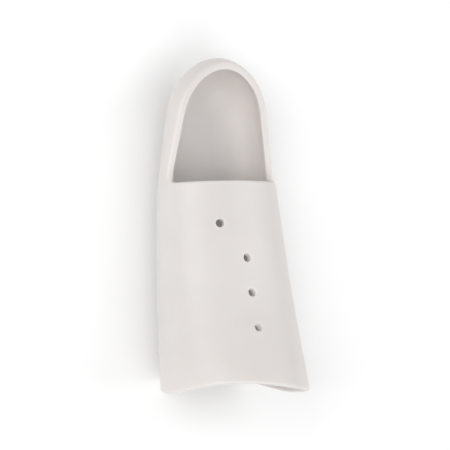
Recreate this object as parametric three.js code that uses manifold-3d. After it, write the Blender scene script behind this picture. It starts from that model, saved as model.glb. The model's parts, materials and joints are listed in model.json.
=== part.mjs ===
// Finger splint: a one-piece moulded cup that holds the end joint of a finger straight.
// Millimetres. +Y points to the fingertip and +Z to the nail. The splint lies on its palm side at Z = 0,
// and the origin is under the middle of its length.
import * as THREE from "three";
import { mergeVertices } from "three/addons/utils/BufferGeometryUtils.js";
import Module from "manifold-3d";

// Lengths along the splint, measured from the mouth, where the finger goes in.
const LENGTH = 60;
const COLLAR_LENGTH = 37.5;
const REST_LENGTH = 34;
const DOME_LENGTH = 9.5;

// Outside sizes at the mouth and where the rounded tip starts.
const MOUTH_WIDTH = 27.1;
const MOUTH_HEIGHT = 23.8;
const TIP_WIDTH = 18.8;
const TIP_HEIGHT = 15.1;
const TIP_LIFT = 1.8;

// The wall, and the flat strip of the palm side that the splint rests on, which narrows where the tip lifts.
const WALL = 1.3;
const FLAT_WIDTH = 5;
const FLAT_WIDTH_AT_TIP = 1;

// The mouth's edge is hollowed on the back, a little to one side, and cut back further on the palm side,
// where the middle joint bends.
const BACK_HOLLOW = 1.1;
const HOLLOW_TURN_DEG = -25;
const HOLLOW_POWER = 4;
const PALM_CUT_BACK = 3.5;

// The window over the nail: its side walls are this high at the collar and at the tip.
const SILL_AT_COLLAR = 8.8;
const SILL_AT_TIP = 12.8;
const SILL_FILLET = 2;

// The vent holes: three on the middle line, and the one nearest the window off to a side.
const VENT_DIAMETER = 1.5;
const FIRST_VENT = 11.1;
const VENT_PITCH = 6.25;
const VENT_TURNS_DEG = [0, 0, 0, -22];

// How the outside tapers from the mouth to the start of the tip.
// along: share of the way there. narrowed, lowered: shares of the taper in width and in height.
const TAPER = [
  { along: 0, narrowed: 0, lowered: 0 },
  { along: 0.36, narrowed: 0.21, lowered: 0.61 },
  { along: 0.71, narrowed: 0.53, lowered: 0.9 },
  { along: 1, narrowed: 1, lowered: 1 },
];

// The section is widest at this share of its height.
const WIDEST_SHARE = 0.48;

// How finely the surfaces are divided.
const STRAIGHT_STEPS = 16;
const DOME_STEPS = 9;
const BACK_STEPS = 28;
const SIDE_STEPS = 13;
const VENT_SIDES = 16;
const FILLET_STEPS = 6;

// What follows from the sizes.
const DOME_START = LENGTH - DOME_LENGTH;
const MOUTH_Y = -LENGTH / 2;
const TIP_CENTRE_Z = TIP_LIFT + TIP_HEIGHT / 2;
const FAR_OUTSIDE = MOUTH_WIDTH + MOUTH_HEIGHT;

// A smooth curve through one column of the taper table. Past the last row it runs on straight, into the tip.
function taper(column, along) {
  const last = TAPER.length - 1;
  const slope = (i) => {
    const before = TAPER[Math.max(i - 1, 0)];
    const after = TAPER[Math.min(i + 1, last)];
    return (after[column] - before[column]) / (after.along - before.along);
  };
  if (along >= 1) return 1 + (along - 1) * slope(last);
  const i = TAPER.findLastIndex((row) => row.along <= along);
  const here = TAPER[i];
  const next = TAPER[i + 1];
  const width = next.along - here.along;
  const t = (along - here.along) / width;
  const rise = (1 + 2 * t) * (1 - t) ** 2;
  return (
    rise * here[column] +
    (1 - rise) * next[column] +
    width * (t * (1 - t) ** 2 * slope(i) - t ** 2 * (1 - t) * slope(i + 1))
  );
}

// The section at a distance from the mouth, measured to a skin that lies this far inside the outer one.
function sectionAt(distance, inset) {
  const along = distance / DOME_START;
  const width = THREE.MathUtils.lerp(MOUTH_WIDTH, TIP_WIDTH, taper("narrowed", along));
  const height = THREE.MathUtils.lerp(MOUTH_HEIGHT, TIP_HEIGHT, taper("lowered", along));
  const lift = TIP_LIFT * THREE.MathUtils.smoothstep(distance, REST_LENGTH, LENGTH);
  const lifting = THREE.MathUtils.smoothstep(distance, REST_LENGTH, DOME_START);
  const flatWidth = THREE.MathUtils.lerp(FLAT_WIDTH, FLAT_WIDTH_AT_TIP, lifting);
  const domeReach = DOME_LENGTH - inset;
  const intoDome = Math.min(Math.max(distance - DOME_START, 0) / domeReach, 1);
  const shrink = Math.sqrt(1 - intoDome ** 2);
  const towardsTip = (z) => THREE.MathUtils.lerp(TIP_CENTRE_Z, z, shrink);
  return {
    halfWidth: (width / 2 - inset) * shrink,
    halfFlat: (flatWidth / 2) * shrink,
    palm: towardsTip(lift + inset),
    widest: towardsTip(lift + height * WIDEST_SHARE),
    back: towardsTip(lift + height - inset),
  };
}

// The places round a section: a turn from 0 at the back to 180 degrees at the palm, on either side.
function placesRound() {
  const places = [];
  for (let i = -BACK_STEPS / 2; i <= BACK_STEPS / 2; i++) {
    places.push({ turn: ((Math.PI / 2) * i) / (BACK_STEPS / 2), side: Math.sign(i) });
  }
  for (let i = 1; i <= SIDE_STEPS; i++) {
    places.push({ turn: (Math.PI / 2) * (1 + i / SIDE_STEPS), side: 1 });
  }
  for (let i = SIDE_STEPS; i >= 1; i--) {
    places.push({ turn: (-Math.PI / 2) * (1 + i / SIDE_STEPS), side: -1 });
  }
  return places;
}

// A point of a skin. The upper part is a half ellipse, the lower one two quarters on either side of a flat.
function skinPoint(distance, { turn, side }, inset) {
  const section = sectionAt(distance, inset);
  const upper = Math.cos(turn) >= 0;
  const flat = upper ? 0 : side * section.halfFlat;
  const sideways = section.halfWidth - Math.abs(flat);
  const upright = upper ? section.back - section.widest : section.widest - section.palm;
  const x = flat + sideways * Math.sin(turn);
  const z = section.widest + upright * Math.cos(turn);
  return new THREE.Vector3(x, MOUTH_Y + distance, z);
}

// How far the mouth's edge is cut back at a place round it.
function cutBack({ turn }) {
  const towardsHollow = Math.max(Math.cos(turn - THREE.MathUtils.degToRad(HOLLOW_TURN_DEG)), 0);
  const towardsPalm = Math.max(-Math.cos(turn), 0);
  return BACK_HOLLOW * towardsHollow ** HOLLOW_POWER + PALM_CUT_BACK * towardsPalm ** 2;
}

// The rings of a skin from the mouth to just short of the tip.
function skinRings(inset) {
  const places = placesRound();
  const rings = [];
  for (let i = 0; i <= STRAIGHT_STEPS; i++) {
    const share = i / STRAIGHT_STEPS;
    rings.push(
      places.map((place) => skinPoint(THREE.MathUtils.lerp(cutBack(place), DOME_START, share), place, inset)),
    );
  }
  for (let i = 1; i < DOME_STEPS; i++) {
    const distance = DOME_START + (DOME_LENGTH - inset) * Math.sin((Math.PI / 2) * (i / DOME_STEPS));
    rings.push(places.map((place) => skinPoint(distance, place, inset)));
  }
  return rings;
}

// The cup before it is cut: the inner skin from its tip to the mouth, then the outer skin back to the tip.
function cupGeometry() {
  const rings = [...skinRings(WALL).reverse(), ...skinRings(0)];
  const round = rings[0].length;
  const points = rings.flat();
  const innerTip = points.length;
  const outerTip = innerTip + 1;
  points.push(new THREE.Vector3(0, MOUTH_Y + LENGTH - WALL, TIP_CENTRE_Z));
  points.push(new THREE.Vector3(0, MOUTH_Y + LENGTH, TIP_CENTRE_Z));
  const faces = [];
  for (let j = 0; j < round; j++) {
    const next = (j + 1) % round;
    faces.push(innerTip, next, j);
    for (let i = 0; i + 1 < rings.length; i++) {
      const a = i * round + j;
      const b = i * round + next;
      faces.push(a, b, b + round, a, b + round, a + round);
    }
    const lastRing = (rings.length - 1) * round;
    faces.push(lastRing + j, lastRing + next, outerTip);
  }
  return new THREE.BufferGeometry().setFromPoints(points).setIndex(faces);
}

// The space cut away for the window, drawn in side view and drawn out across the whole width.
function windowGeometry() {
  const end = LENGTH + WALL;
  const rise = (SILL_AT_TIP - SILL_AT_COLLAR) / (LENGTH - COLLAR_LENGTH);
  const sill = (distance) => SILL_AT_COLLAR + rise * (distance - COLLAR_LENGTH);
  const top = MOUTH_HEIGHT + WALL;
  const outline = new THREE.Shape();
  outline.moveTo(COLLAR_LENGTH, top);
  outline.lineTo(COLLAR_LENGTH, sill(COLLAR_LENGTH) + SILL_FILLET);
  outline.quadraticCurveTo(
    COLLAR_LENGTH,
    sill(COLLAR_LENGTH),
    COLLAR_LENGTH + SILL_FILLET,
    sill(COLLAR_LENGTH + SILL_FILLET),
  );
  outline.lineTo(end, sill(end));
  outline.lineTo(end, top);
  outline.closePath();
  const geometry = new THREE.ExtrudeGeometry(outline, {
    depth: FAR_OUTSIDE,
    bevelEnabled: false,
    curveSegments: FILLET_STEPS,
  });
  const sideView = new THREE.Matrix4().makeBasis(
    new THREE.Vector3(0, 1, 0),
    new THREE.Vector3(0, 0, 1),
    new THREE.Vector3(1, 0, 0),
  );
  return geometry.applyMatrix4(sideView).translate(-FAR_OUTSIDE / 2, MOUTH_Y, 0);
}

// One vent's bore, square to the outer skin and through this wall only.
function ventGeometry(index) {
  const distance = FIRST_VENT + index * VENT_PITCH;
  const place = { turn: THREE.MathUtils.degToRad(VENT_TURNS_DEG[index]), side: 0 };
  const nudge = WALL / 10;
  const centre = skinPoint(distance, place, 0);
  const ahead = skinPoint(distance + nudge, place, 0).sub(centre);
  const beside = skinPoint(distance, { ...place, turn: place.turn + nudge / MOUTH_WIDTH }, 0).sub(centre);
  const outward = beside.cross(ahead).normalize();
  const turned = new THREE.Quaternion().setFromUnitVectors(new THREE.Vector3(0, 1, 0), outward);
  const middle = centre.addScaledVector(outward, -WALL / 2);
  const radius = VENT_DIAMETER / 2;
  return new THREE.CylinderGeometry(radius, radius, WALL * 3, VENT_SIDES)
    .applyQuaternion(turned)
    .translate(middle.x, middle.y, middle.z);
}

const wasm = await Module();
wasm.setup();

// A closed geometry as a solid that can be cut and joined.
function solidFrom(geometry) {
  const bare = geometry.clone();
  bare.deleteAttribute("normal");
  bare.deleteAttribute("uv");
  const merged = mergeVertices(bare);
  const vertProperties = new Float32Array(merged.attributes.position.array);
  const triVerts = new Uint32Array(merged.index.array);
  return new wasm.Manifold(new wasm.Mesh({ numProp: 3, vertProperties, triVerts }));
}

// A solid's surface as a geometry with flat-shaded normals.
function geometryFrom(solid) {
  const { vertProperties, triVerts } = solid.getMesh();
  const indexed = new THREE.BufferGeometry();
  indexed.setAttribute("position", new THREE.BufferAttribute(vertProperties, 3));
  indexed.setIndex(new THREE.BufferAttribute(triVerts, 1));
  const geometry = indexed.toNonIndexed();
  geometry.computeVertexNormals();
  return geometry;
}

// Pale beige moulded plastic with a satin surface.
function splintPlastic() {
  return new THREE.MeshStandardMaterial({ color: 0xe4e0dd, roughness: 0.4, metalness: 0 });
}

// The moulded shell: the cup, less the window and the vents.
function makeShell() {
  const vents = VENT_TURNS_DEG.map((_, index) => solidFrom(ventGeometry(index)));
  const cuts = [solidFrom(windowGeometry()), ...vents];
  const shell = cuts.reduce((solid, cut) => solid.subtract(cut), solidFrom(cupGeometry()));
  const mesh = new THREE.Mesh(geometryFrom(shell), splintPlastic());
  mesh.name = "splint_shell";
  return mesh;
}

const splint = new THREE.Group();
splint.name = "finger_splint";
splint.add(makeShell());

export default splint;
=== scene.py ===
"""A moulded finger splint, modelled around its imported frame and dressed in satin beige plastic.

The splint lies on its palm side with the nail window up. +Y points to the fingertip. Sizes are in metres.
"""

import json
import logging
import math
from dataclasses import dataclass, field
from enum import Enum
from typing import Callable

import bmesh
import bpy
from mathutils import Matrix, Vector

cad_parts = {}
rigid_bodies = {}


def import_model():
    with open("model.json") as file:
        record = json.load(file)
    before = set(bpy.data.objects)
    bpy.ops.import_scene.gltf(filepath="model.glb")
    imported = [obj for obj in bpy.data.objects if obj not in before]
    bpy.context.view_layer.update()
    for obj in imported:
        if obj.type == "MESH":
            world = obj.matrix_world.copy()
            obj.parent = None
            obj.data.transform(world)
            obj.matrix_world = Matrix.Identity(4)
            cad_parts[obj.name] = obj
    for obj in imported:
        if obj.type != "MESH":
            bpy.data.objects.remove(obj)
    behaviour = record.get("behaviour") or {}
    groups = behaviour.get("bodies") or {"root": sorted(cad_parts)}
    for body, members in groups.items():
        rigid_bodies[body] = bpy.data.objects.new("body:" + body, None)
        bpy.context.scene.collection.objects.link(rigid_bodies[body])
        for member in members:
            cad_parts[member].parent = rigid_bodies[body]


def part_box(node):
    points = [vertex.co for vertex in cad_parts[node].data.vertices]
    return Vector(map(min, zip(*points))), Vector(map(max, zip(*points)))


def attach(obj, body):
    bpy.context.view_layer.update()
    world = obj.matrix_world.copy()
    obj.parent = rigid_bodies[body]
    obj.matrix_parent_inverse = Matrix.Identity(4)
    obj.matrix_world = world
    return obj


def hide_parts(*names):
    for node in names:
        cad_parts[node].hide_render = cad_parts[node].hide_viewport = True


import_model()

LOG = logging.getLogger("finger_splint")
MM = 0.001
HUNDREDTH = 0.01 * MM
NEGLIGIBLE = 0.001 * MM
NODE = "splint_shell"
BODY = "root"


def smooth_step(value: float, start: float, end: float) -> float:
    """Rise smoothly from 0 to 1 between two values.

    Args:
        value: Where to read the curve.
        start: The value where it leaves 0.
        end: The value where it reaches 1.

    Returns:
        The height of the curve there.
    """
    share = min(max((value - start) / (end - start), 0.0), 1.0)
    return share * share * (3.0 - 2.0 * share)


def mix(low: float, high: float, share: float) -> float:
    """Return the value this share of the way from low to high."""
    return low + (high - low) * share


@dataclass(frozen=True)
class TaperRow:
    """How far the outside has tapered at one place between the mouth and the tip, all as shares."""

    along: float
    narrowed: float
    lowered: float


@dataclass(frozen=True)
class Section:
    """A section of the outside, square to its length: half its width and its flat, and its heights."""

    half_width: float
    half_flat: float
    palm: float
    widest: float
    back: float


@dataclass(frozen=True)
class ShellForm:
    """The sizes of the moulding and the outer skin that follows from them."""

    length: float
    mouth_width: float
    mouth_height: float = 23.8 * MM
    tip_width: float = 18.8 * MM
    tip_height: float = 15.1 * MM
    tip_lift: float = 1.8 * MM
    dome_length: float = 9.5 * MM
    collar_length: float = 37.5 * MM
    rest_length: float = 34.0 * MM
    flat_width: float = 5.0 * MM
    wall: float = 1.3 * MM
    back_hollow: float = 1.1 * MM
    hollow_turn: float = math.radians(-25.0)
    hollow_power: int = 4
    palm_cut_back: float = 3.5 * MM
    sill_at_collar: float = 8.8 * MM
    sill_at_tip: float = 12.8 * MM
    sill_fillet: float = 2.0 * MM
    widest_share: float = 0.48
    taper: tuple[TaperRow, ...] = (
        TaperRow(along=0.0, narrowed=0.0, lowered=0.0),
        TaperRow(along=0.36, narrowed=0.21, lowered=0.61),
        TaperRow(along=0.71, narrowed=0.53, lowered=0.90),
        TaperRow(along=1.0, narrowed=1.0, lowered=1.0),
    )

    @property
    def mouth_y(self) -> float:
        """Where the mouth is along the splint."""
        return -self.length / 2.0

    @property
    def dome_start(self) -> float:
        """How far from the mouth the rounded tip starts."""
        return self.length - self.dome_length

    def tapered(self, column: str, along: float) -> float:
        """Read one column of the taper as a smooth curve that runs on straight past its last row.

        Args:
            column: The name of the column, narrowed or lowered.
            along: The share of the way from the mouth to the tip.

        Returns:
            The share of the taper that is done there.
        """
        last = len(self.taper) - 1

        def slope(row: int) -> float:
            """Work out the slope of the curve at a row.

            Args:
                row: The row's number.

            Returns:
                The slope between the rows on either side of it.
            """
            before = self.taper[max(row - 1, 0)]
            after = self.taper[min(row + 1, last)]
            return (getattr(after, column) - getattr(before, column)) / (after.along - before.along)

        if along >= 1.0:
            return 1.0 + (along - 1.0) * slope(last)
        row = max(i for i in range(last) if self.taper[i].along <= along)
        here, after = self.taper[row], self.taper[row + 1]
        width = after.along - here.along
        t = (along - here.along) / width
        rise = (1.0 + 2.0 * t) * (1.0 - t) ** 2
        swing = t * (1.0 - t) ** 2 * slope(row) - t**2 * (1.0 - t) * slope(row + 1)
        return rise * getattr(here, column) + (1.0 - rise) * getattr(after, column) + width * swing

    def section(self, distance: float) -> Section:
        """Work out the outside at a distance from the mouth.

        Args:
            distance: How far from the mouth, along the splint.

        Returns:
            The section there, shrunk towards the tip's centre inside the dome.
        """
        along = distance / self.dome_start
        width = mix(self.mouth_width, self.tip_width, self.tapered("narrowed", along))
        height = mix(self.mouth_height, self.tip_height, self.tapered("lowered", along))
        lift = self.tip_lift * smooth_step(distance, self.rest_length, self.length)
        into_dome = min(max(distance - self.dome_start, 0.0) / self.dome_length, 1.0)
        shrink = math.sqrt(1.0 - into_dome**2)
        centre = self.tip_lift + self.tip_height / 2.0
        flat_share = 1.0 - smooth_step(distance, self.rest_length, self.dome_start)
        return Section(
            half_width=width / 2.0 * shrink,
            half_flat=self.flat_width / 2.0 * flat_share,
            palm=mix(centre, lift, shrink),
            widest=mix(centre, lift + height * self.widest_share, shrink),
            back=mix(centre, lift + height, shrink),
        )

    def skin_point(self, distance: float, turn: float) -> Vector:
        """Find a point of the outer skin on the right-hand side.

        Args:
            distance: How far from the mouth, along the splint.
            turn: The angle round the section, from 0 at the back to pi at the palm.

        Returns:
            The point, in the frame's own place.
        """
        section = self.section(distance)
        upper = math.cos(turn) >= 0.0
        flat = 0.0 if upper else section.half_flat
        reach = section.back - section.widest if upper else section.widest - section.palm
        x = flat + (section.half_width - flat) * math.sin(turn)
        return Vector((x, self.mouth_y + distance, section.widest + reach * math.cos(turn)))

    def sill_height(self, distance: float) -> float:
        """The height of the window's side wall at a distance from the mouth."""
        share = (distance - self.collar_length) / (self.length - self.collar_length)
        return mix(self.sill_at_collar, self.sill_at_tip, share)

    def palm_cut(self, turn: float) -> float:
        """How far the mouth's edge is cut back on the palm side at an angle round it."""
        return self.palm_cut_back * max(-math.cos(turn), 0.0) ** 2

    def hollow(self, turn: float) -> float:
        """How far the mouth's edge is hollowed on the back at an angle round it, below 0 on the left."""
        return self.back_hollow * max(math.cos(turn - self.hollow_turn), 0.0) ** self.hollow_power


@dataclass(frozen=True)
class Vent:
    """A small round hole through the collar: its distance from the mouth and its angle off the back."""

    distance: float
    turn: float


class MeshBench:
    """One mesh object in edit mode, shaped by operators on points that are picked by their place."""

    def __init__(self, obj: bpy.types.Object) -> None:
        """Take hold of a mesh object and open it for editing.

        Args:
            obj: The object to shape.
        """
        self.obj = obj
        bpy.context.view_layer.objects.active = obj
        bpy.ops.object.mode_set(mode="EDIT")

    def mesh(self) -> bmesh.types.BMesh:
        """Get hold of the mesh being edited.

        Returns:
            The mesh, with its points ready to be looked up.
        """
        mesh = bmesh.from_edit_mesh(self.obj.data)
        mesh.verts.ensure_lookup_table()
        mesh.verts.index_update()
        return mesh

    def pick(self, test: Callable[[bmesh.types.BMVert], bool]) -> list[int]:
        """Select the points that pass a test, and nothing else.

        Args:
            test: Says whether a point is wanted.

        Returns:
            The selected points' numbers.
        """
        bpy.ops.mesh.select_all(action="DESELECT")
        mesh = self.mesh()
        wanted = [v for v in mesh.verts if test(v)]
        for vert in wanted:
            vert.select_set(True)
        mesh.select_flush(True)
        bmesh.update_edit_mesh(self.obj.data)
        return [v.index for v in wanted]

    def pick_numbers(self, numbers: list[int]) -> None:
        """Select the points with these numbers, and nothing else."""
        wanted = set(numbers)
        self.pick(lambda vert: vert.index in wanted)

    def place_of(self, number: int) -> Vector:
        """The place of one point."""
        return self.mesh().verts[number].co.copy()

    def slide(self, number: int, target: Vector) -> None:
        """Move one point to a new place.

        Args:
            number: The point's number.
            target: Where it goes.
        """
        bpy.ops.mesh.select_all(action="DESELECT")
        vert = self.mesh().verts[number]
        vert.select_set(True)
        bpy.ops.transform.translate(value=target - vert.co)

    def slide_all(self, numbers: list[int], targets: list[Vector]) -> None:
        """Move several points, each to its own place."""
        for number, target in zip(numbers, targets, strict=True):
            self.slide(number, target)

    def close(self) -> None:
        """Leave edit mode."""
        bpy.ops.object.mode_set(mode="OBJECT")


def apply_modifier(obj: bpy.types.Object, kind: str, **settings: object) -> None:
    """Add a modifier to an object, set it, and apply it.

    Args:
        obj: The object, in object mode.
        kind: The kind of modifier.
        **settings: The modifier's settings by name.
    """
    bpy.context.view_layer.objects.active = obj
    modifier = obj.modifiers.new(kind.title(), kind)
    for name, value in settings.items():
        setattr(modifier, name, value)
    bpy.ops.object.modifier_apply(modifier=modifier.name)


def smooth(obj: bpy.types.Object, levels: int = 1) -> None:
    """Divide an object's surface smoothly."""
    apply_modifier(obj, "SUBSURF", levels=levels, render_levels=levels)


class Rim(Enum):
    """The kinds of rim: round the mouth and the window, or round a vent."""

    OPENING = "opening"
    VENT = "vent"


@dataclass(frozen=True)
class CollarPoint:
    """A point of the collar's right half: its place, its distance from the mouth, its angle and its ring."""

    place: Vector
    distance: float
    turn: float
    share: float


@dataclass
class SplintShell:
    """The whole moulding: collar, side walls, rounded tip, vents and rounded rims."""

    form: ShellForm
    back_steps: int = 10
    side_steps: int = 14
    collar_rings: int = 22
    wall_rings: int = 8
    dome_fans: int = 9
    rim_round: float = 0.42 * MM
    rim_segments: int = 3
    vent_round: float = 0.14 * MM
    vent_segments: int = 2
    vent_radius: float = 0.75 * MM
    first_vent: float = 11.1 * MM
    vent_pitch: float = 6.25 * MM
    vent_turns_deg: tuple[float, ...] = (0.0, 0.0, 0.0, -22.0)
    sharp_angle: float = math.radians(40.0)
    levelling_starts: float = 0.3 * MM
    levelling_done: float = 2.0 * MM
    halvings: int = 40
    bench: MeshBench = field(init=False)
    collar: list[CollarPoint] = field(init=False, default_factory=list)

    def build(self) -> bpy.types.Object:
        """Model the shell and finish its surface.

        Returns:
            The finished object.
        """
        obj = self.lay_mouth()
        self.draw_collar()
        self.draw_side_walls()
        self.spin_tip()
        self.bench.close()
        self.join_halves(obj)
        self.hollow_mouth(obj)
        smooth(obj)
        self.open_vents(obj)
        self.thicken(obj)
        self.round_rims(obj)
        smooth(obj)
        bpy.ops.object.select_all(action="DESELECT")
        obj.select_set(True)
        bpy.ops.object.shade_smooth()
        return obj

    def dress(self, obj: bpy.types.Object, material: bpy.types.Material) -> None:
        """Give the shell its plastic, and put it in the place of the frame's solid.

        Args:
            obj: The finished shell.
            material: Its plastic.
        """
        obj.data.materials.append(material)
        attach(obj, BODY)
        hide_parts(NODE)

    @property
    def columns(self) -> int:
        """How many points half a ring has, from the middle of the back to the middle of the palm."""
        return self.back_steps + self.side_steps + 2

    def sill_turn(self, distance: float) -> float:
        """Find the angle round the section where the side wall ends, or would end below the collar.

        Args:
            distance: How far from the mouth, along the splint.

        Returns:
            The angle from the back.
        """
        distance = max(distance, self.form.collar_length)
        section = self.form.section(distance)
        rise = (self.form.sill_height(distance) - section.widest) / (section.back - section.widest)
        return math.acos(rise)

    def turns_at(self, distance: float) -> list[float]:
        """List the angles of half a ring, down to the edge of the palm's flat strip.

        Args:
            distance: The ring's distance from the mouth.

        Returns:
            The angles from the back towards the palm.
        """
        sill = self.sill_turn(distance)
        closing = smooth_step(distance, self.form.rest_length, self.form.dome_start)
        last = math.pi - closing * (math.pi - sill) / (self.side_steps + 1)
        turns = [sill * i / self.back_steps for i in range(self.back_steps + 1)]
        return turns + [mix(sill, last, i / self.side_steps) for i in range(1, self.side_steps + 1)]

    def middle_point(self, distance: float) -> Vector:
        """Find the point of the skin in the middle of the palm side.

        Args:
            distance: How far from the mouth, along the splint.

        Returns:
            The point.
        """
        point = self.form.skin_point(distance, math.pi)
        point.x = 0.0
        return point

    def collar_ring(self, index: int) -> list[Vector]:
        """Lay out one half ring of the collar, which shares out the palm side's cut, and remember it.

        Args:
            index: The ring's number, from 0 at the mouth.

        Returns:
            The points from the back to the palm.
        """
        share = index / self.collar_rings
        places = []
        for turn in self.turns_at(share * self.form.collar_length):
            distance = mix(self.form.palm_cut(turn), self.form.collar_length, share)
            places.append(self.form.skin_point(distance, turn))
            self.collar.append(CollarPoint(places[-1], distance, turn, share))
        middle = self.middle_point(mix(self.form.palm_cut(math.pi), self.form.collar_length, share))
        return places + [middle]

    def lay_mouth(self) -> bpy.types.Object:
        """Start with a circle at the mouth, keep its right half, and give it the mouth's shape.

        Returns:
            The new object, open for editing.
        """
        section = self.form.section(0.0)
        bpy.ops.object.select_all(action="DESELECT")
        bpy.ops.mesh.primitive_circle_add(
            vertices=2 * (self.columns - 1),
            radius=section.half_width,
            fill_type="NOTHING",
            location=(0.0, self.form.mouth_y, section.widest),
            rotation=(math.pi / 2.0, 0.0, 0.0),
        )
        obj = bpy.context.object
        obj.name = "moulded_shell"
        bpy.ops.object.transform_apply(location=True, rotation=True, scale=True)
        self.bench = MeshBench(obj)
        self.bench.pick(lambda vert: vert.co.x < -NEGLIGIBLE)
        bpy.ops.mesh.delete(type="VERT")
        half = self.bench.pick(lambda vert: True)
        half.sort(key=lambda number: -self.bench.place_of(number).z)
        self.bench.slide_all(half, self.collar_ring(0))
        self.bench.pick_numbers(half)
        return obj

    def extrude_ring(self, step: float, targets: list[Vector]) -> None:
        """Extrude the selected half ring towards the tip and slide its points onto the skin.

        Args:
            step: How far to extrude.
            targets: The new points' places, from the back to the palm.
        """
        bpy.ops.mesh.extrude_region_move(TRANSFORM_OT_translate={"value": (0.0, step, 0.0)})
        fresh = [vert.index for vert in self.bench.mesh().verts if vert.select]
        fresh.sort(key=lambda number: -self.bench.place_of(number).z)
        self.bench.slide_all(fresh, targets)
        self.bench.pick_numbers(fresh)

    def draw_collar(self) -> None:
        """Extrude the collar from the mouth to the window, ring by ring."""
        step = self.form.collar_length / self.collar_rings
        for index in range(1, self.collar_rings + 1):
            self.extrude_ring(step, self.collar_ring(index))

    def draw_side_walls(self) -> None:
        """Carry on from the collar below the sill only, and leave the window open above it."""
        reach = self.form.dome_start - self.form.collar_length
        step = reach / self.wall_rings
        edge = self.form.mouth_y + self.form.collar_length
        ring = [vert.index for vert in self.bench.mesh().verts if abs(vert.co.y - edge) < NEGLIGIBLE]
        ring.sort(key=lambda number: -self.bench.place_of(number).z)
        corner = ring[self.back_steps]
        self.bench.pick_numbers(ring[self.back_steps :])
        for i in range(1, self.wall_rings + 1):
            distance = self.form.collar_length + i * step
            turns = self.turns_at(distance)[self.back_steps :]
            targets = [self.form.skin_point(distance, turn) for turn in turns] + [self.middle_point(distance)]
            self.extrude_ring(step, targets)
        last_ring = [vert.index for vert in self.bench.mesh().verts if vert.select]
        self.soften_corner(corner)
        self.bench.pick_numbers(last_ring)

    def soften_corner(self, corner: int) -> None:
        """Slide the window's corner point inwards, so that the smoothed rim turns in a fillet.

        Args:
            corner: The number of the point where the sill meets the collar.
        """
        inset = self.form.sill_fillet * (1.0 - math.sqrt(0.5))
        distance = self.form.collar_length + inset
        section = self.form.section(distance)
        height = self.form.sill_height(distance) + inset
        turn = math.acos((height - section.widest) / (section.back - section.widest))
        self.bench.slide(corner, self.form.skin_point(distance, turn))

    def fan_point(self, fan: float, dip: float) -> Vector:
        """Find a point of the dome from its angle round the tip and its angle up from straight down.

        Args:
            fan: The angle in plan, from 0 at the side to a right angle at the front.
            dip: The angle in height, from 0 straight down.

        Returns:
            The point on the skin.
        """
        ahead = math.sin(dip) * math.sin(fan)
        distance = self.form.dome_start + self.form.dome_length * ahead
        turn = math.atan2(math.sin(dip) * math.cos(fan), -math.cos(dip))
        return self.form.skin_point(distance, turn)

    def sill_dip(self, fan: float) -> float:
        """Find how far up the dome the side wall ends, by halving.

        Args:
            fan: The angle in plan, from 0 at the side to a right angle at the front.

        Returns:
            The angle in height there, from 0 straight down.
        """
        low, high = math.pi / 2.0, math.pi
        for _ in range(self.halvings):
            middle = (low + high) / 2.0
            point = self.fan_point(fan, middle)
            if point.z < self.form.sill_height(point.y - self.form.mouth_y):
                low = middle
            else:
                high = middle
        return low

    def spin_tip(self) -> None:
        """Spin the last half ring round to the front, and slide each fan of points onto the dome."""
        pole = Vector((0.0, self.form.mouth_y + self.form.dome_start, 0.0))
        quarter = math.pi / 2.0
        bpy.ops.mesh.spin(steps=self.dome_fans, angle=-quarter, center=pole, axis=(0.0, 0.0, 1.0))
        self.bench.pick(lambda vert: True)
        bpy.ops.mesh.remove_doubles(threshold=NEGLIGIBLE)
        levels = self.side_steps + 1
        fans: dict[int, list[int]] = {}
        for vert in self.bench.mesh().verts:
            ahead = vert.co.y - pole.y
            if ahead > NEGLIGIBLE:
                index = round(math.atan2(ahead, vert.co.x) / quarter * self.dome_fans)
                fans.setdefault(index, []).append(vert.index)
        for index, numbers in fans.items():
            fan = quarter * index / self.dome_fans
            numbers.sort(key=lambda number: -self.bench.place_of(number).z)
            sill = self.sill_dip(fan)
            targets = [self.fan_point(fan, sill * (1.0 - i / levels)) for i in range(levels)]
            if index == self.dome_fans:
                for target in targets:
                    target.x = 0.0
            self.bench.slide_all(numbers, targets)

    def join_halves(self, obj: bpy.types.Object) -> None:
        """Mirror the right half onto the left, close the seam and turn the faces outwards.

        Args:
            obj: The half shell.
        """
        apply_modifier(obj, "MIRROR", use_clip=True, merge_threshold=HUNDREDTH)
        self.bench = MeshBench(obj)
        self.bench.pick(lambda vert: True)
        bpy.ops.mesh.remove_doubles(threshold=NEGLIGIBLE)
        bpy.ops.mesh.normals_make_consistent(inside=False)
        mesh = self.bench.mesh()
        lowest = min(mesh.faces, key=lambda face: face.calc_center_median().z)
        if lowest.normal.z > 0.0:
            bpy.ops.mesh.flip_normals()
        self.bench.close()

    def hollow_mouth(self, obj: bpy.types.Object) -> None:
        """Hollow the mouth's edge on the back, and let the collar's rings share it out.

        Args:
            obj: The whole skin.
        """
        self.bench = MeshBench(obj)
        numbers = {self.place_key(vert.co): vert.index for vert in self.bench.mesh().verts}
        for point in self.collar:
            for side in (1.0, -1.0) if point.turn > 0.0 else (1.0,):
                pull = self.form.hollow(side * point.turn) * (1.0 - point.share)
                if pull > NEGLIGIBLE:
                    mirrored = Vector((side, 1.0, 1.0))
                    target = self.form.skin_point(point.distance + pull, point.turn) * mirrored
                    self.bench.slide(numbers[self.place_key(point.place * mirrored)], target)
        self.bench.close()

    @staticmethod
    def place_key(place: Vector) -> tuple[int, ...]:
        """A place in whole hundredths of a millimetre, to look points up by."""
        return tuple(round(value / HUNDREDTH) for value in place)

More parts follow.
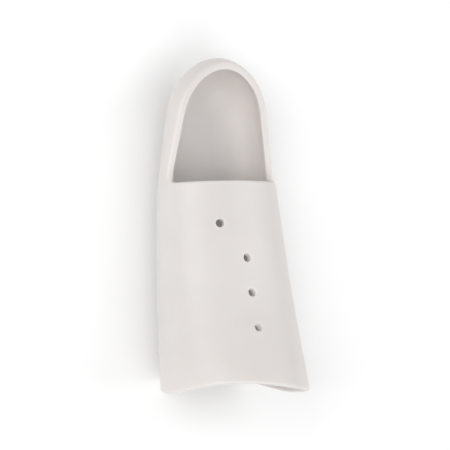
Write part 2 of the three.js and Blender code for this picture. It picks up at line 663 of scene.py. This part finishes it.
    def thicken(self, obj: bpy.types.Object) -> None:
        """Give the skin its wall, and make the rims level across the wall: the mouth's, and the side walls'.

        The wall's inner points follow the outer ones in the same order.

        Args:
            obj: The skin with its vents.
        """
        skin_points = len(obj.data.vertices)
        wall = {"thickness": self.form.wall, "offset": -1.0, "use_even_offset": True, "use_rim": True}
        apply_modifier(obj, "SOLIDIFY", **wall)
        self.bench = MeshBench(obj)
        mouth_end = self.form.mouth_y + self.form.palm_cut_back + self.form.wall
        window = self.form.mouth_y + self.form.collar_length
        moves = []
        for edge in self.bench.mesh().edges:
            outer, inner = sorted(edge.verts, key=lambda vert: vert.index)
            if inner.index != outer.index + skin_points:
                continue
            if outer.co.y < mouth_end:
                moves.append((inner.index, self.level_point(outer.co, inner.co, Vector((0.0, 1.0, 0.0)))))
            elif outer.co.y > window + self.levelling_starts:
                level = self.level_point(outer.co, inner.co, Vector((0.0, 0.0, 1.0)))
                share = smooth_step(outer.co.y, window + self.levelling_starts, window + self.levelling_done)
                moves.append((inner.index, inner.co.lerp(level, share)))
        for number, target in moves:
            self.bench.slide(number, target)
        self.bench.close()

    @staticmethod
    def level_point(outer: Vector, inner: Vector, axis: Vector) -> Vector:
        """Find where a rim's inner point is level with its outer one, keeping the wall's thickness.

        Args:
            outer: The rim's outer point.
            inner: The inner point, square to the skin.
            axis: The direction in which both are to be level.

        Returns:
            The inner point's new place.
        """
        outward = (outer - inner).normalized()
        along = (axis - outward * outward.dot(axis)).normalized()
        return inner + along * ((outer - inner).dot(axis) / along.dot(axis))

    def vents(self) -> list[Vent]:
        """Lay out the vents: a row up the middle of the back, the last one off to a side."""
        return [
            Vent(distance=self.first_vent + i * self.vent_pitch, turn=math.radians(turn))
            for i, turn in enumerate(self.vent_turns_deg)
        ]

    def vent_centre(self, vent: Vent) -> Vector:
        """Find where a vent's middle is on the outer skin.

        Args:
            vent: The vent.

        Returns:
            Its middle.
        """
        point = self.form.skin_point(vent.distance, abs(vent.turn))
        point.x = math.copysign(point.x, vent.turn)
        return point

    def open_vents(self, obj: bpy.types.Object) -> None:
        """Take out the skin's point nearest to each vent and shape the gap into a round hole.

        Args:
            obj: The whole skin, before it has a wall.
        """
        self.bench = MeshBench(obj)
        for vent in self.vents():
            centre = self.vent_centre(vent)
            nearest = min(self.bench.mesh().verts, key=lambda vert: (vert.co - centre).length).index
            self.bench.pick_numbers([nearest])
            bpy.ops.mesh.select_more()
            edge = [vert.index for vert in self.bench.mesh().verts if vert.select and vert.index != nearest]
            places = [self.bench.place_of(number) for number in edge]
            self.bench.pick_numbers([nearest])
            bpy.ops.mesh.delete(type="VERT")
            self.bench.pick(lambda vert: min((vert.co - place).length for place in places) < NEGLIGIBLE)
            bpy.ops.mesh.subdivide(number_cuts=1)
            bpy.ops.transform.tosphere(value=1.0)
            ring = [vert.co.copy() for vert in self.bench.mesh().verts if vert.select]
            middle = sum(ring, Vector()) / len(ring)
            radius = sum((place - middle).length for place in ring) / len(ring)
            grow = self.vent_radius / self.smoothed_share(len(ring)) / radius
            bpy.ops.transform.resize(value=(grow, grow, grow), center_override=middle)
            bpy.ops.transform.translate(value=centre - middle)
        self.bench.close()

    @staticmethod
    def smoothed_share(points: int) -> float:
        """The share of its radius that a ring of points keeps when smoothing draws each to its neighbours."""
        return (3.0 + math.cos(math.tau / points)) / 4.0

    def round_rims(self, obj: bpy.types.Object) -> None:
        """Round the edges of the mouth and the window, and more lightly those of the vents.

        Args:
            obj: The shell with its wall.
        """
        centres = [self.vent_centre(vent) for vent in self.vents()]
        near = self.vent_radius + self.form.wall
        roundings = {
            Rim.OPENING: (self.rim_round, self.rim_segments),
            Rim.VENT: (self.vent_round, self.vent_segments),
        }
        for rim, (offset, segments) in roundings.items():
            self.bench = MeshBench(obj)
            bpy.ops.mesh.select_mode(type="EDGE")
            bpy.ops.mesh.select_all(action="DESELECT")
            bpy.ops.mesh.edges_select_sharp(sharpness=self.sharp_angle)
            for edge in self.bench.mesh().edges:
                middle = (edge.verts[0].co + edge.verts[1].co) / 2.0
                beside_vent = min((middle - centre).length for centre in centres) < near
                if edge.select and beside_vent != (rim is Rim.VENT):
                    edge.select_set(False)
            bmesh.update_edit_mesh(obj.data)
            bpy.ops.mesh.bevel(
                offset=offset, segments=segments, affect="EDGES", clamp_overlap=True, loop_slide=False
            )
            bpy.ops.mesh.select_mode(type="VERT")
            self.bench.close()


def new_group(
    name: str,
    inputs: dict[str, tuple[str, object]],
    outputs: dict[str, str],
) -> bpy.types.NodeTree:
    """Make an empty shader node group with named sockets.

    Args:
        name: The group's name.
        inputs: Each input's socket type and default value by name.
        outputs: Each output's socket type by name.

    Returns:
        The group, with its input and output nodes added.
    """
    group = bpy.data.node_groups.new(name, "ShaderNodeTree")
    for label, (kind, value) in inputs.items():
        socket = group.interface.new_socket(name=label, in_out="INPUT", socket_type=kind)
        socket.default_value = value
    for label, kind in outputs.items():
        group.interface.new_socket(name=label, in_out="OUTPUT", socket_type=kind)
    group.nodes.new("NodeGroupInput").name = "in"
    group.nodes.new("NodeGroupOutput").name = "out"
    return group


@dataclass(frozen=True)
class Relief:
    """How finely a surface is uneven: the scales of its slow ripple and its grain, and the grain's share."""

    ripple_scale: float
    grain_scale: float
    grain_share: float


class Finishes:
    """The surface effects, each built once as a node group, that a material places with its own values."""

    def __init__(self) -> None:
        """Build the groups."""
        self.cloudy_tone = self.make_cloudy_tone()
        self.fine_skin = self.make_fine_skin()

    def make_cloudy_tone(self) -> bpy.types.NodeTree:
        """Build a soft drift between two colours, as in moulded plastic that cooled unevenly.

        Returns:
            The group, which puts out a colour.
        """
        group = new_group(
            "cloudy_tone",
            {
                "Vector": ("NodeSocketVector", (0.0, 0.0, 0.0)),
                "Light Colour": ("NodeSocketColor", (0.8, 0.8, 0.8, 1.0)),
                "Deep Colour": ("NodeSocketColor", (0.7, 0.7, 0.7, 1.0)),
                "Scale": ("NodeSocketFloat", 60.0),
            },
            {"Color": "NodeSocketColor"},
        )
        nodes, links = group.nodes, group.links
        noise = nodes.new("ShaderNodeTexNoise")
        noise.inputs["Detail"].default_value = 3.0
        noise.inputs["Roughness"].default_value = 0.55
        spread = nodes.new("ShaderNodeMapRange")
        spread.interpolation_type = "SMOOTHSTEP"
        spread.inputs["From Min"].default_value = 0.3
        spread.inputs["From Max"].default_value = 0.7
        blend = nodes.new("ShaderNodeMix")
        blend.data_type = "RGBA"
        links.new(nodes["in"].outputs["Vector"], noise.inputs["Vector"])
        links.new(nodes["in"].outputs["Scale"], noise.inputs["Scale"])
        links.new(noise.outputs["Fac"], spread.inputs["Value"])
        links.new(spread.outputs["Result"], blend.inputs["Factor"])
        links.new(nodes["in"].outputs["Light Colour"], blend.inputs["A"])
        links.new(nodes["in"].outputs["Deep Colour"], blend.inputs["B"])
        links.new(blend.outputs["Result"], nodes["out"].inputs["Color"])
        return group

    def make_fine_skin(self) -> bpy.types.NodeTree:
        """Build a fine uneven skin: a slow ripple under a much finer grain.

        Returns:
            The group, which puts out a height and the grain alone as a mask.
        """
        group = new_group(
            "fine_skin",
            {
                "Vector": ("NodeSocketVector", (0.0, 0.0, 0.0)),
                "Ripple Scale": ("NodeSocketFloat", 250.0),
                "Grain Scale": ("NodeSocketFloat", 3000.0),
                "Grain Share": ("NodeSocketFloat", 0.2),
            },
            {"Height": "NodeSocketFloat", "Grain": "NodeSocketFloat"},
        )
        nodes, links = group.nodes, group.links
        ripple = nodes.new("ShaderNodeTexNoise")
        ripple.inputs["Detail"].default_value = 1.0
        grain = nodes.new("ShaderNodeTexNoise")
        grain.inputs["Detail"].default_value = 4.0
        both = nodes.new("ShaderNodeMix")
        both.data_type = "FLOAT"
        links.new(nodes["in"].outputs["Vector"], ripple.inputs["Vector"])
        links.new(nodes["in"].outputs["Vector"], grain.inputs["Vector"])
        links.new(nodes["in"].outputs["Ripple Scale"], ripple.inputs["Scale"])
        links.new(nodes["in"].outputs["Grain Scale"], grain.inputs["Scale"])
        links.new(nodes["in"].outputs["Grain Share"], both.inputs["Factor"])
        links.new(ripple.outputs["Fac"], both.inputs["A"])
        links.new(grain.outputs["Fac"], both.inputs["B"])
        links.new(both.outputs["Result"], nodes["out"].inputs["Height"])
        links.new(grain.outputs["Fac"], nodes["out"].inputs["Grain"])
        return group

    @staticmethod
    def place(
        material: bpy.types.Material,
        group: bpy.types.NodeTree,
        values: dict[str, object],
    ) -> bpy.types.Node:
        """Put a group into a material, fed by the object's own coordinates.

        Args:
            material: The material.
            group: The group to place.
            values: The group's input values by name.

        Returns:
            The placed group node.
        """
        nodes, links = material.node_tree.nodes, material.node_tree.links
        coordinates = nodes.get("object_place") or nodes.new("ShaderNodeTexCoord")
        coordinates.name = "object_place"
        placed = nodes.new("ShaderNodeGroup")
        placed.node_tree = group
        for name, value in values.items():
            placed.inputs[name].default_value = value
        links.new(coordinates.outputs["Object"], placed.inputs["Vector"])
        return placed

    def place_skin(self, material: bpy.types.Material, relief: Relief) -> bpy.types.Node:
        """Put the fine uneven skin into a material.

        Args:
            material: The material.
            relief: The scales of the skin's ripple and grain.

        Returns:
            The placed group node.
        """
        values = {
            "Ripple Scale": relief.ripple_scale,
            "Grain Scale": relief.grain_scale,
            "Grain Share": relief.grain_share,
        }
        return self.place(material, self.fine_skin, values)

    @staticmethod
    def vary_roughness(
        material: bpy.types.Material,
        mask: bpy.types.NodeSocket,
        low: float,
        high: float,
    ) -> None:
        """Let a mask choose a material's roughness between two values.

        Args:
            material: The material.
            mask: The output that holds the mask.
            low: The roughness where the mask is 0.
            high: The roughness where the mask is 1.
        """
        nodes, links = material.node_tree.nodes, material.node_tree.links
        spread = nodes.new("ShaderNodeMapRange")
        spread.inputs["To Min"].default_value = low
        spread.inputs["To Max"].default_value = high
        links.new(mask, spread.inputs["Value"])
        links.new(spread.outputs["Result"], nodes["Principled BSDF"].inputs["Roughness"])


@dataclass(frozen=True)
class SatinPlastic:
    """Pale beige moulded plastic: satin, a little see-through at thin edges, very slightly cloudy."""

    light_colour: tuple[float, float, float, float] = (0.710, 0.683, 0.667, 1.0)
    deep_colour: tuple[float, float, float, float] = (0.682, 0.655, 0.640, 1.0)
    cloud_scale: float = 70.0
    relief: Relief = Relief(ripple_scale=260.0, grain_scale=2800.0, grain_share=0.45)
    bump_height: float = 0.06 * MM
    bump_strength: float = 0.55
    smooth_roughness: float = 0.34
    rough_roughness: float = 0.44
    refraction: float = 1.5
    glow: float = 0.7
    glow_by_colour: tuple[float, float, float] = (1.0, 0.85, 0.75)
    glow_depth: float = 1.6 * MM

    def material(self, finishes: Finishes) -> bpy.types.Material:
        """Build the material.

        Args:
            finishes: The shared node groups.

        Returns:
            The finished material.
        """
        material = bpy.data.materials.new("satin_beige_plastic")
        material.use_nodes = True
        nodes, links = material.node_tree.nodes, material.node_tree.links
        surface = nodes["Principled BSDF"]
        surface.inputs["IOR"].default_value = self.refraction
        surface.inputs["Subsurface Weight"].default_value = self.glow
        surface.inputs["Subsurface Radius"].default_value = self.glow_by_colour
        surface.inputs["Subsurface Scale"].default_value = self.glow_depth
        tone = finishes.place(
            material,
            finishes.cloudy_tone,
            {
                "Light Colour": self.light_colour,
                "Deep Colour": self.deep_colour,
                "Scale": self.cloud_scale,
            },
        )
        skin = finishes.place_skin(material, self.relief)
        finishes.vary_roughness(material, skin.outputs["Grain"], self.smooth_roughness, self.rough_roughness)
        bump = nodes.new("ShaderNodeBump")
        bump.inputs["Strength"].default_value = self.bump_strength
        bump.inputs["Distance"].default_value = self.bump_height
        links.new(tone.outputs["Color"], surface.inputs["Base Color"])
        links.new(skin.outputs["Height"], bump.inputs["Height"])
        links.new(bump.outputs["Normal"], surface.inputs["Normal"])
        return material


@dataclass(frozen=True)
class MattFloor:
    """A pale matt surface with a barely uneven grain."""

    colour: tuple[float, float, float, float] = (0.95, 0.95, 0.95, 1.0)
    relief: Relief = Relief(ripple_scale=20.0, grain_scale=900.0, grain_share=0.5)
    smooth_roughness: float = 0.85
    rough_roughness: float = 0.95

    def material(self, finishes: Finishes) -> bpy.types.Material:
        """Build the material.

        Args:
            finishes: The shared node groups.

        Returns:
            The finished material.
        """
        material = bpy.data.materials.new("pale_floor")
        material.use_nodes = True
        material.node_tree.nodes["Principled BSDF"].inputs["Base Color"].default_value = self.colour
        skin = finishes.place_skin(material, self.relief)
        finishes.vary_roughness(material, skin.outputs["Height"], self.smooth_roughness, self.rough_roughness)
        return material


@dataclass(frozen=True)
class SoftLight:
    """A square soft light: where it stands, the length of its side, and its power in watts."""

    name: str
    place: tuple[float, float, float]
    size: float
    power: float

    def add(self) -> None:
        """Add the light, pointed at the splint."""
        bpy.ops.object.light_add(type="AREA", location=self.place)
        light = bpy.context.object
        light.name = self.name
        light.data.size = self.size
        light.data.energy = self.power
        light.rotation_euler = (-Vector(self.place)).to_track_quat("-Z", "Y").to_euler()


@dataclass(frozen=True)
class Studio:
    """A plain pale floor, soft lights, and the camera at the photograph's angle."""

    floor_size: float = 4.0
    lights: tuple[SoftLight, ...] = (
        SoftLight("key_left", place=(-0.72, 0.10, 0.60), size=0.7, power=4.1),
        SoftLight("high_past_mouth", place=(-0.05, -0.50, 0.80), size=0.8, power=3.3),
        SoftLight("fill_right", place=(0.70, 0.05, 0.60), size=0.8, power=2.7),
    )
    surround_strength: float = 0.44
    turn: float = math.radians(30.0)
    tilt: float = math.radians(4.4)
    roll: float = math.radians(2.3)
    camera_distance: float = 1.0
    view_height: float = 0.080
    sensor: float = 36.0
    aim: tuple[float, float, float] = (0.0, 0.0, 0.0100)
    nearest_seen: float = 0.01

    def build(self, finishes: Finishes) -> None:
        """Set up the whole studio.

        Args:
            finishes: The shared node groups, which dress the floor too.
        """
        self.make_floor(MattFloor().material(finishes))
        self.make_lights()
        self.make_camera()
        self.show_plain_colours()

    def make_floor(self, material: bpy.types.Material) -> None:
        """Lay the pale floor under the splint.

        Args:
            material: The floor's finish.
        """
        bpy.ops.object.select_all(action="DESELECT")
        bpy.ops.mesh.primitive_plane_add(size=self.floor_size)
        floor = bpy.context.object
        floor.name = "floor"
        floor.data.materials.append(material)

    def make_lights(self) -> None:
        """Add the soft lights and an even white surround."""
        for light in self.lights:
            light.add()
        world = bpy.data.worlds.new("pale_surround")
        world.use_nodes = True
        backdrop = world.node_tree.nodes["Background"]
        backdrop.inputs["Color"].default_value = (1.0, 1.0, 1.0, 1.0)
        backdrop.inputs["Strength"].default_value = self.surround_strength
        bpy.context.scene.world = world

    def make_camera(self) -> None:
        """Place the camera at the photograph's turn, tilt and roll."""
        right = Vector((math.cos(self.turn), 0.0, math.sin(self.turn)))
        square = Vector((-math.sin(self.turn), 0.0, math.cos(self.turn)))
        back = square * math.cos(self.tilt) - Vector((0.0, math.sin(self.tilt), 0.0))
        up = back.cross(right)
        image_right = right * math.cos(self.roll) - up * math.sin(self.roll)
        image_up = right * math.sin(self.roll) + up * math.cos(self.roll)
        pose = Matrix((image_right, image_up, back)).transposed().to_4x4()
        pose.translation = Vector(self.aim) + back * self.camera_distance
        bpy.ops.object.camera_add()
        camera = bpy.context.object
        camera.matrix_world = pose
        camera.data.sensor_width = self.sensor
        camera.data.sensor_height = self.sensor
        camera.data.sensor_fit = "HORIZONTAL"
        camera.data.lens = self.sensor * self.camera_distance / self.view_height
        camera.data.clip_start = self.nearest_seen
        bpy.context.scene.camera = camera

    def show_plain_colours(self) -> None:
        """Show colours as they are, so that whites stay white."""
        bpy.context.scene.view_settings.view_transform = "Standard"


def main() -> None:
    """Build the splint and its studio, and log how many faces the shell has."""
    logging.basicConfig(level=logging.INFO, format="%(name)s: %(message)s")
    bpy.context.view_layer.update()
    low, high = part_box(NODE)
    finishes = Finishes()
    splint = SplintShell(ShellForm(length=high.y - low.y, mouth_width=high.x - low.x))
    shell = splint.build()
    splint.dress(shell, SatinPlastic().material(finishes))
    LOG.info("%s has %d faces", shell.name, len(shell.data.polygons))
    Studio().build(finishes)


if __name__ == "__main__":
    main()
